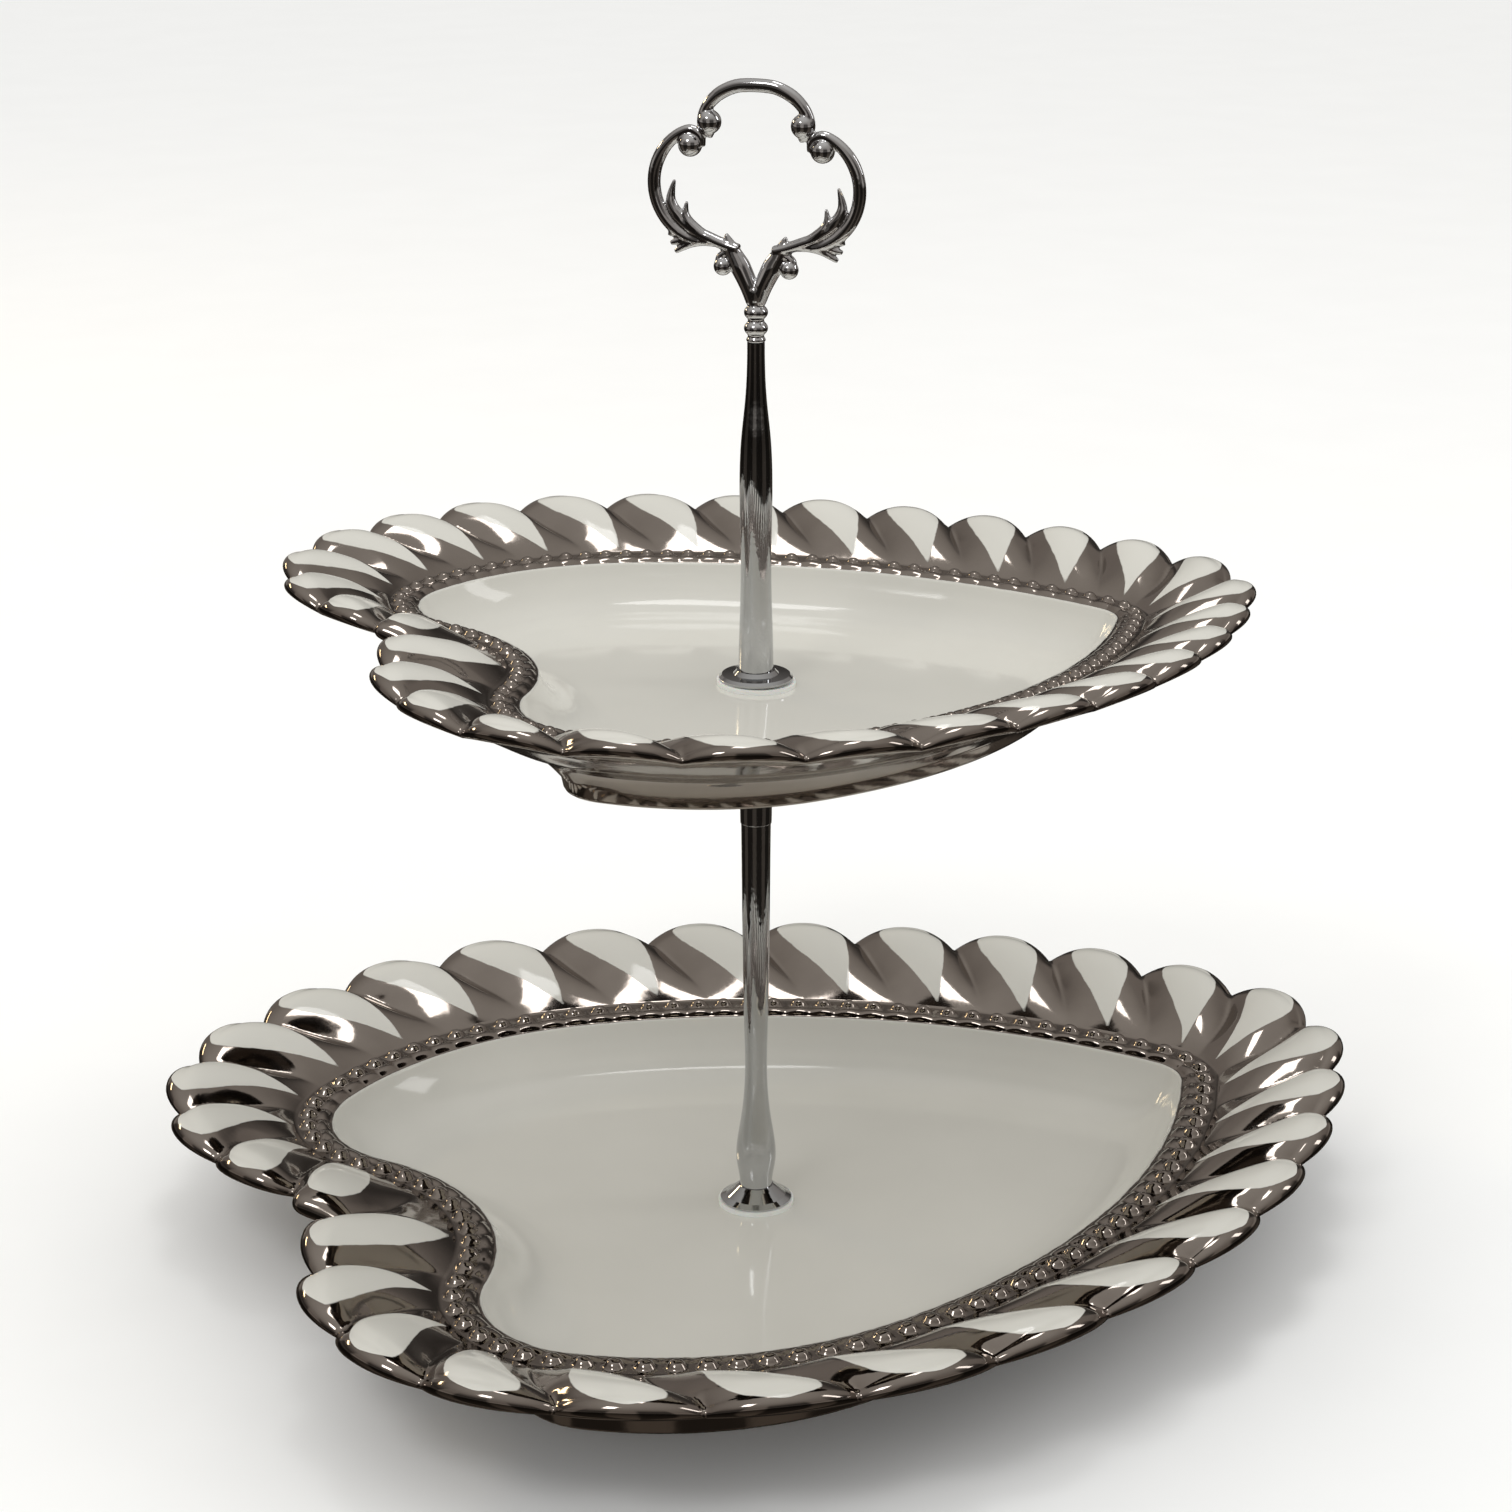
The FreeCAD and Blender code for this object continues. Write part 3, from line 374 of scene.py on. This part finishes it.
# %% Rows of a plate
def plate_rows(lobe, pearl, notch, plan, rise, rim, floor, floor_thick, foot_inset):
    """Per row and column: offset, height, distance to the paint, bare clay and pull towards the hole."""
    count = len(lobe)
    line = np.ones(count)
    wall, band = WELL_WALL * plan, PEARL_BAND * plan
    drop, climb = WELL_DROP * rise, RIM_CLIMB * rise
    lip = floor + drop
    paint_line = -band * 1.02
    rows = []

    def put(offset, height, cream, bare=0.0, hub=0.0):
        rows.append([np.asarray(v, float) * line for v in (offset, height, cream, bare, hub)])

    # floor, from the hole outwards; hub is how far a row is pulled in to the hole's circle
    for hub in (1.0, 0.97, 0.8, 0.6, 0.4, 0.2, 0.05):
        put(-band - wall, floor, 9.0, hub=hub)
    # curved wall of the well
    wall_line = smooth_line([
        (-band - wall, floor), (-band - wall * 0.64, floor + drop * 0.07),
        (-band - wall * 0.36, floor + drop * 0.27), (-band - wall * 0.14, floor + drop * 0.60),
        (-band * 1.04, floor + drop * 0.92)], 20)
    for offset, height in wall_line:
        put(offset, height, paint_line - offset)
    # fluted band and pearls
    across = pearl - np.round(pearl)
    for offset in np.linspace(-band * 0.97, 3.4 * plan, 22):
        s = offset / plan
        flute = FLUTE * (1 - np.abs(2 * across) ** 2) * smooth(-6.4, -4.6, s) * (1 - smooth(-2.6, -1.6, s))
        reach = 1 - ((s - PEARL_OUT) / PEARL_LONG) ** 2 - (np.abs(across) * PEARL_PITCH / PEARL_WIDE) ** 2
        dome = PEARL_TALL * np.sqrt(np.maximum(reach, 0))
        ledge = lip - 1.25 * rise * (1 - smooth(-6.2, -3.4, s)) - LEDGE_SUNK
        put(offset, ledge + (flute + dome) * plan, paint_line - offset)
    # leaning lobes
    crest = swelling(across_lobe(lobe, 1.0))
    outline = rim - LOBE_DEPTH * plan * (1 - crest) + NOTCH_REACH * plan * notch * crest
    nose = (NOSE_VALLEY + (NOSE - NOSE_VALLEY) * crest) * plan
    start, end = RIM_START * plan, outline - nose
    for share in np.linspace(0, 1, 44):
        offset = start + (end - start) * share
        t = offset / rim
        p = across_lobe(lobe, np.minimum(offset / end, 1.0))
        relief = LOBE_RELIEF * rise * smooth(0.06, 0.62, t)
        climbed = 1 - (1 - min(share / LEVEL_FROM, 1)) ** 1.45
        curled = 0.05 * max(share - LEVEL_FROM, 0) ** 2 / (1 - LEVEL_FROM) ** 2
        base = lip - LEDGE_SUNK + climb * (climbed - curled) + 0.3 * rise * share
        put(offset, base - relief * (1 - swelling(p)), paint(t, p, plan))
    top = rows[-1][1]
    # rounded edge
    p = across_lobe(lobe, 1.0)
    for angle in np.linspace(0, math.pi, 19)[1:]:
        offset = end + nose * math.sin(angle)
        facing_up = paint(offset / rim, p, plan) if angle < math.pi / 2 else -3.0
        put(offset, top - NOSE_FLAT * nose * (1 - math.cos(angle)), facing_up)
    under_z = rows[-1][1]
    # underside, from the edge in to the foot
    below = smooth_line([(-foot_inset + 1.0, floor * 0.4), (-foot_inset * 0.55, floor + drop * 0.05),
                         (0.04 * rim, floor + drop * 0.42), (0.50 * rim, lip + climb * 0.02),
                         (0.90 * rim, lip + climb * 0.55), (rim, lip + climb * 0.82)], 80)
    for share in np.linspace(1, 0, 26)[1:]:
        offset = below[0, 0] + (end - below[0, 0]) * share
        height = np.interp(offset, below[:, 0], below[:, 1])
        rim_height = np.interp(end, below[:, 0], below[:, 1])
        put(offset, height + (under_z - rim_height) * share ** 5, -5.0)
    # foot ring, its unglazed face, the recess and the way back to the hole
    put(-foot_inset + 0.35, 0.9, -5.0)
    put(-foot_inset - 0.1, 0.15, -5.0)
    put(-foot_inset - 0.7, 0.0, 5.0, bare=1.0)
    put(-foot_inset - 5.3, 0.0, 5.0, bare=1.0)
    put(-foot_inset - 5.9, 0.3, 5.0)
    put(-foot_inset - 6.2, 1.2, 5.0)
    put(-foot_inset - 6.4, floor - floor_thick - 0.6, 5.0)
    put(-foot_inset - 7.2, floor - floor_thick, 5.0)
    for hub in (0.1, 0.4, 0.7, 1.0):
        put(-foot_inset - 7.4, floor - floor_thick, 5.0, hub=hub)
    return np.array(rows)


def paint(t, p, plan):
    """Millimetres inside the cream leaf on a lobe: round at its outer end, pointed at its inner end."""
    start, end, widest = 0.15, 0.965, 0.39
    run = (t - start) / (end - start)
    belly = np.sign(run) * np.abs(run) ** 1.25 * (1 - np.clip(run, -1, 2) ** 5) * 1.35
    width_squared = widest ** 2 * belly * np.where(run > 0, np.abs(belly) ** 0.35, 1.0)
    field = width_squared - p ** 2
    return field / (2 * np.sqrt(np.maximum(width_squared, 0) + p ** 2 + 0.002)) * LOBE_WIDTH * plan

# %% [markdown]
# The two plates share one mould: the upper one is the lower at about three quarters of the plan, turned a few
# degrees on the rod. This stand's upper plate also sits a little askew on its washers, so it leans about two
# degrees.

# %% Make both plates
HOLE = 3.5           # radius of the drilled hole
COLUMNS = 1200
SOFT_WASHER = 1.2    # thickness of a soft washer
LEAN_SIDE = math.radians(-13.3)
# a soft washer lies on each well's floor: the level one's underside gives the floor's height, and the leaning
# one's middle is half its thickness over the middle of the floor
FLOOR_LEVELS = {"lower_plate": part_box("lower_top_washer")[0][2] / MM}
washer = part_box("upper_top_washer")
FLOOR_LEVELS["upper_plate"] = (washer[0][2] + washer[1][2]) / 2 / MM - SOFT_WASHER / 2


def make_plate(name, node, body, plan, rise, rim, floor, floor_thick, foot_inset, turn=0.0, lean=0.0):
    """The plate's skin as one closed mesh, in place of its CAD node."""
    piece, share, lobe, pearl, notch = spread_columns(COLUMNS, plan)
    offset, height, cream, bare, hub = plate_rows(lobe, pearl, notch, plan, rise, rim, floor, floor_thick,
                                                  foot_inset).transpose(1, 0, 2)
    x, y, _ = heart(offset, piece[None, :], share[None, :], plan)
    angle = np.arctan2(y, x)
    x = x * (1 - hub) + HOLE * np.cos(angle) * hub
    y = y * (1 - hub) + HOLE * np.sin(angle) * hub
    # heights count from the well's floor while the plate is turned and leant about the floor's middle
    place = Matrix.Translation((0, 0, FLOOR_LEVELS[node]))
    place @= Matrix.Rotation(math.radians(lean), 4, Vector((-math.sin(LEAN_SIDE), math.cos(LEAN_SIDE), 0)))
    place @= Matrix.Rotation(math.radians(turn), 4, "Z")
    flat = np.stack([x, y, height - floor, np.ones_like(x)], axis=-1).reshape(-1, 4)
    points = (flat @ np.array(place).T)[:, :3] * MM
    row_count = len(offset)
    row, column = np.meshgrid(np.arange(row_count), np.arange(COLUMNS), indexing="ij")
    after, beside = (row + 1) % row_count, (column + 1) % COLUMNS
    corners = ((row, column), (after, column), (after, beside), (row, beside))
    quads = np.stack([r * COLUMNS + k for r, k in corners], -1)
    mesh = bpy.data.meshes.new(name)
    mesh.from_pydata(points.tolist(), [], quads.reshape(-1, 4).tolist())
    for title, values in (("cream", cream), ("bare", bare)):
        mesh.attributes.new(title, "FLOAT", "POINT").data.foreach_set("value", values.ravel())
    mesh.shade_smooth()
    mesh.materials.append(plate_ware)
    mesh.update()
    plate = new_object(name, mesh)
    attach(plate, body)
    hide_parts(node)
    print(name, len(mesh.polygons), "quads, top", round(points[:, 2].max() / MM, 2), "mm")


make_plate("lower_plate_ware", "lower_plate", "base_plate", plan=1.0, rise=1.0, rim=40.1, floor=12.0,
           floor_thick=6.0, foot_inset=15.0)
make_plate("upper_plate_ware", "upper_plate", "upper_tier", plan=0.771, rise=0.845, rim=31.9, floor=9.0,
           floor_thick=5.0, foot_inset=21.0 * 0.771, turn=-4.0, lean=2.13)

# %% [markdown]
# ## The cast handle
# The handle is a zinc die casting: three open scrolls whose ends curl into balls, two long leaves that rise
# from the stem, small curls and leafy tips. A caster's pattern maker would carve one solid with soft fillets
# at every joint. Each branch here is a tapered strand swept along a curve; a voxel remesh then melts the
# strands into one skin, which gives those fillets, and a light smoothing takes off the voxel steps.

# %% Strands in the handle's plane
def join_rings(faces, first, rings, sides):
    """Quads between neighbouring rings of points, and a cap at each end."""
    for ring in range(rings - 1):
        for side in range(sides):
            a, b = first + ring * sides + side, first + ring * sides + (side + 1) % sides
            faces.append((a, b, b + sides, a + sides))
    faces.append(tuple(first + side for side in reversed(range(sides))))
    faces.append(tuple(first + (rings - 1) * sides + side for side in range(sides)))


def strand(verts, faces, path, widths, depths, count=26, sides=14):
    """Add a closed strand along (y, z) points in mm: half widths in the plane, half depths across it."""
    line = smooth_line(path, count)
    marks = np.linspace(0, 1, count)
    wide = np.interp(marks, np.linspace(0, 1, len(widths)), widths)
    deep = np.interp(marks, np.linspace(0, 1, len(depths)), depths)
    tangent = np.gradient(line, axis=0)
    tangent /= np.linalg.norm(tangent, axis=1)[:, None]
    first = len(verts)
    for (y, z), (ty, tz), w, d in zip(line, tangent, wide, deep):
        for side in range(sides):
            turn = 2 * math.pi * side / sides
            verts.append((d * math.sin(turn), y - tz * w * math.cos(turn), z + ty * w * math.cos(turn)))
    join_rings(faces, first, count, sides)


def bow(centre, radius, start, end, steps=9):
    """Points of an arc in the handle's plane, degrees from the +y side."""
    return [(centre[0] + radius * math.cos(math.radians(a)), centre[1] + radius * math.sin(math.radians(a)))
            for a in np.linspace(start, end, steps)]


def pearl_ball(verts, faces, y, z, radius):
    """A ball, as a strand whose widths follow a circle."""
    ring = [radius * math.sin(math.pi * k / 12) + 0.02 for k in range(13)]
    path = [(y, z - radius * math.cos(math.pi * k / 12)) for k in range(13)]
    strand(verts, faces, path, ring, ring, count=25, sides=20)

# %% Lay out the handle
BALL, CURL_BALL = 3.1, 2.4  # radii of the balls that end the scrolls and the curls


def handle_strands():
    """Every branch of the casting, mirrored left and right of the stem. z is 0 at the stem's foot."""
    verts, faces = [], []
    half_arch = [(3.0, 54.8), (6.6, 54.0), (10.2, 52.0), (12.9, 49.0), (14.1, 45.8), (13.6, 43.0),
                 (11.4, 41.9)]
    arch = [(-y, z) for y, z in reversed(half_arch)] + half_arch
    strand(verts, faces, arch, [0.8, 1.4, 1.75, 1.75, 1.75, 1.4, 0.8], [1.2, 1.55, 1.5, 1.55, 1.2], 90)
    for hand in (-1, 1):
        def at(*points):
            return [(hand * y, z) for y, z in points]

        outer = bow((12.3, 29.5), 14.8, -80, 60, 12) + [(17.0, 43.2), (14.5, 41.7), (14.2, 39.0)]
        strand(verts, faces, at(*outer), [1.2, 1.7, 1.7, 1.7, 1.4, 0.8], [1.5, 1.6, 1.5, 1.2], 80)
        pearl_ball(verts, faces, hand * 12.3, 45.3, BALL)
        pearl_ball(verts, faces, hand * 17.4, 39.4, BALL)
        # foot of the scroll, from the stem's leaf out along the bottom
        strand(verts, faces, at((4.6, 13.6), (8.0, 14.4), (12.3, 16.0), (17.0, 18.0), (21.5, 21.4)),
               [1.3, 1.5, 1.5, 1.2], [1.7, 1.7, 1.4], 30)
        # long leaf from the stem
        strand(verts, faces, at((0.6, 0.2), (2.0, 4.6), (4.2, 9.2), (6.4, 13.4), (8.0, 17.4)),
               [1.9, 2.4, 2.7, 2.0, 0.3], [2.0, 2.3, 2.3, 1.6, 0.5], 30)
        # curl under the scroll
        strand(verts, faces, at((4.6, 12.6), (7.2, 12.6), (9.6, 11.4), (9.9, 9.2)), [1.1, 1.0, 0.9],
               [1.3, 1.1], 20)
        pearl_ball(verts, faces, hand * 8.8, 9.0, CURL_BALL)
        # leaves inside the scroll
        strand(verts, faces, at((15.0, 16.6), (19.6, 20.2), (22.6, 24.8), (21.6, 30.4)), [1.3, 1.8, 1.4, 0.3],
               [1.2, 1.5, 0.5], 26)
        strand(verts, faces, at((12.0, 15.8), (16.2, 18.4), (18.6, 21.4), (18.4, 25.0)), [1.1, 1.3, 1.0, 0.3],
               [1.5, 1.6, 0.6], 24)
        # fan of three tips outside it
        for tip in ((21.6, 12.0), (22.8, 14.2), (23.4, 16.6)):
            bend = (16.0, 15.0 + 0.28 * (tip[1] - 12.0))
            strand(verts, faces, at((10.5, 15.0), bend, tip), [1.2, 1.5, 0.6], [1.4, 1.3, 0.6], 20)
    return verts, faces


def stem_lathe(verts, faces, foot, sides=32):
    """The stem and its two beads, turned about the rod's axis."""
    outline = [(2.1, foot), (2.5, foot + 0.3), (2.5, foot + 0.9), (2.05, foot + 1.3)]
    for bead in (foot + 3.6, foot + 7.7):
        outline += [(0.35 + 2.75 * math.sin(math.radians(a)), bead - 2.1 * math.cos(math.radians(a)))
                    for a in range(38, 143, 13)]
    outline += [(2.1, 0.4), (2.3, 1.2), (2.2, 3.4), (1.2, 5.0)]
    first = len(verts)
    round_way = [2 * math.pi * k / sides for k in range(sides)]
    for radius, z in outline:
        verts.extend((radius * math.cos(a), radius * math.sin(a), z) for a in round_way)
    join_rings(faces, first, len(outline), sides)

# %% [markdown]
# The strands are laid out in millimetres, so a voxel of 0.3 keeps the fine leaf tips and costs a few
# seconds. The handle stands where its CAD solid stands and is turned to the same plane.

# %% Melt the strands into one casting
HANDLE_TURN = math.radians(-43.0)
STEM_FOOT = -10.0    # the turned stem's lower end, under the strands' zero
VOXEL = 0.30
low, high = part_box("handle")
verts, faces = handle_strands()
stem_lathe(verts, faces, STEM_FOOT)
pattern = bpy.data.meshes.new("handle_casting")
pattern.from_pydata(verts, [], faces)
casting = new_object("handle_casting", pattern)
remesh = casting.modifiers.new("melt", "REMESH")
remesh.mode = "VOXEL"
remesh.voxel_size = VOXEL
settle = casting.modifiers.new("settle", "SMOOTH")
settle.factor, settle.iterations = 0.5, 3
melted = bpy.data.meshes.new_from_object(casting.evaluated_get(bpy.context.evaluated_depsgraph_get()))
casting.modifiers.clear()
casting.data = melted
casting.data.name = "handle_casting"
points = np.empty(len(melted.vertices) * 3)
melted.vertices.foreach_get("co", points)
points = points.reshape(-1, 3)
points[:, 2] += low[2] / MM - points[:, 2].min()
# the smoothed skin ends a little over the CAD solid, so it is pressed down to the same height
tall = (high[2] - low[2]) / MM
points[:, 2] = low[2] / MM + (points[:, 2] - low[2] / MM) * min(1, tall / np.ptp(points[:, 2]))
# the plane of the strands is y-z; turning it by a further quarter puts +y along the handle's own x
turn = HANDLE_TURN - math.pi / 2
across, along = points[:, 0].copy(), points[:, 1].copy()
points[:, 0] = across * math.cos(turn) - along * math.sin(turn)
points[:, 1] = across * math.sin(turn) + along * math.cos(turn)
melted.vertices.foreach_set("co", (points * MM).ravel())
melted.shade_smooth()
melted.materials.clear()
melted.materials.append(cast_chrome)
melted.update()
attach(casting, "handle")
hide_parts("handle")
print("handle", len(melted.polygons), "faces, top", round(points[:, 2].max(), 1),
      "CAD", round(high[2] / MM, 1))

# %% [markdown]
# ## Studio
# Mirror-like pieces show the room, so the room is most of the look. The floor is plain and pale, and the
# camera sees a backdrop of the floor's own tone, so no line shows where the floor ends. What the lustre and
# the chrome see is a dimmer grey room with bright and dark cards, the way a product photographer hangs them
# round a shiny object.

# %% Floor, room and lights
def make_floor(half):
    """A plain pale floor, as one large quad."""
    mesh = bpy.data.meshes.new("floor")
    corners = [(-half, -half, 0), (half, -half, 0), (half, half, 0), (-half, half, 0)]
    mesh.from_pydata(corners, [], [(0, 1, 2, 3)])
    material, tree = new_material("pale_matte_floor")
    tone = add(tree, "Mix", {0: noise_at(tree, 60.0), 6: linear("#f4f4f3"), 7: linear("#f8f8f7")},
               data_type="RGBA")
    paper = add(tree, "BsdfPrincipled", {"Base Color": tone.outputs[2], "Roughness": 0.9})
    add(tree, "OutputMaterial", {"Surface": paper.outputs[0]})
    mesh.materials.append(material)
    floor = new_object("floor", mesh)
    floor.visible_glossy = False  # mirrors see the dark side of the room below, not the paper


def make_room():
    """Pale to the camera, near white to matte surfaces, and to mirrors a dim studio with bright cards."""
    world = bpy.data.worlds.new("studio")
    bpy.context.scene.world = world
    world.use_nodes = True
    tree = world.node_tree
    tree.nodes.clear()
    way = add(tree, "SeparateXYZ", {0: add(tree, "TexCoord").outputs["Generated"]}).outputs
    ramp = add(tree, "ValToRGB", {0: add(tree, "MapRange", {0: way[2], 1: -1.0, 2: 1.0}).outputs[0]})
    stops = ramp.color_ramp.elements
    stops[0].position, stops[0].color = 0.0, linear("#544d46")
    stops[1].position, stops[1].color = 1.0, linear("#c6c4c1")
    for place, colour in ((0.47, "#2a2622"), (0.52, "#8b8681"), (0.60, "#6d6864"), (0.74, "#8f8a86"),
                          (0.90, "#b4b1ad")):
        stop = stops.new(place)
        stop.color = linear(colour)
    # tall bright and dark cards round the stand, so upright mirrors show crisp streaks
    turn = add(tree, "Math", {0: way[1], 1: way[0]}, operation="ARCTAN2").outputs[0]
    cards = add(tree, "Math", {0: add(tree, "Math", {0: turn, 1: 5.0}, operation="MULTIPLY").outputs[0]},
                operation="SINE").outputs[0]
    card = add(tree, "MapRange", {0: cards, 1: 0.1, 2: 0.5, 3: 0.35, 4: 1.5}).outputs[0]
    low_part = add(tree, "MapRange", {0: way[2], 1: 0.25, 2: 0.6, 3: 1.0, 4: 0.0}).outputs[0]
    level = add(tree, "Mix", {0: low_part, 2: 1.0, 3: card}, data_type="FLOAT").outputs[0]
    backdrop = add(tree, "Background", {"Color": linear("#f2f2f0"), "Strength": 1.0})
    soft = add(tree, "Background", {"Color": linear("#fbfbfa"), "Strength": 1.0})
    mirrored = add(tree, "Background", {"Color": ramp.outputs[0], "Strength": level})
    path = add(tree, "LightPath").outputs
    shiny = add(tree, "MixShader", {0: path["Is Glossy Ray"], 1: soft.outputs[0], 2: mirrored.outputs[0]})
    both = add(tree, "MixShader", {0: path["Is Camera Ray"], 1: shiny.outputs[0], 2: backdrop.outputs[0]})
    add(tree, "OutputWorld", {"Surface": both.outputs[0]})


def softbox(name, place, size, power, colour, aim=(0.0, 0.0, 0.12)):
    """A soft rectangular light at a place, aimed at the stand."""
    lamp = bpy.data.lights.new(name, "AREA")
    lamp.shape = "RECTANGLE"
    lamp.size, lamp.size_y = size
    lamp.energy = power
    lamp.color = linear(colour)[:3]
    light = new_object(name, lamp)
    light.location = place
    direction = [a - b for a, b in zip(aim, place)]
    light.rotation_euler = Vector(direction).to_track_quat("-Z", "Y").to_euler()


make_floor(9.0)
make_room()
SOFTBOXES = (  # name, place and size in metres, watts, colour
    ("key", (-1.1, -0.7, 1.5), (0.45, 0.45), 4.5, "#ffffff"),
    ("fill", (1.3, -0.5, 0.9), (0.25, 0.7), 1.8, "#ffffff"),
    ("warm_back", (-0.7, 1.5, 0.8), (0.5, 0.12), 2.0, "#ffe6b8"),
    ("top", (0.2, 0.2, 1.8), (0.4, 0.4), 2.5, "#ffffff"),
)
for box in SOFTBOXES:
    softbox(*box)
print("softboxes:", [box[0] for box in SOFTBOXES])

# %% [markdown]
# ## Camera
# A long lens from a little above the upper plate, nearly a metre away, keeps the two hearts' proportions.
# The camera looks at the rod's axis; a slight upward shift frames the handle without tilting the verticals.

# %% Set the camera
REACH, CAMERA_HEIGHT = 0.870, 0.4401  # metres, from the rod's axis and over the table
FROM_RIGHT, PITCH = 24.9, 19.75       # degrees round from the front, and down
lens = bpy.data.cameras.new("camera")
lens.sensor_width, lens.lens, lens.shift_y = 36.0, 82.55, 0.0349
lens.dof.use_dof = False
camera = new_object("camera", lens)
bearing = math.radians(-90.0 - FROM_RIGHT)
camera.location = (REACH * math.cos(bearing), REACH * math.sin(bearing), CAMERA_HEIGHT)
camera.rotation_euler = (math.radians(90.0 - PITCH), 0.0, math.radians(-FROM_RIGHT))
bpy.context.scene.camera = camera
bpy.context.scene.view_settings.view_transform = "Standard"
print("camera:", [round(v, 3) for v in camera.location], "m, lens", round(lens.lens, 2), "mm")
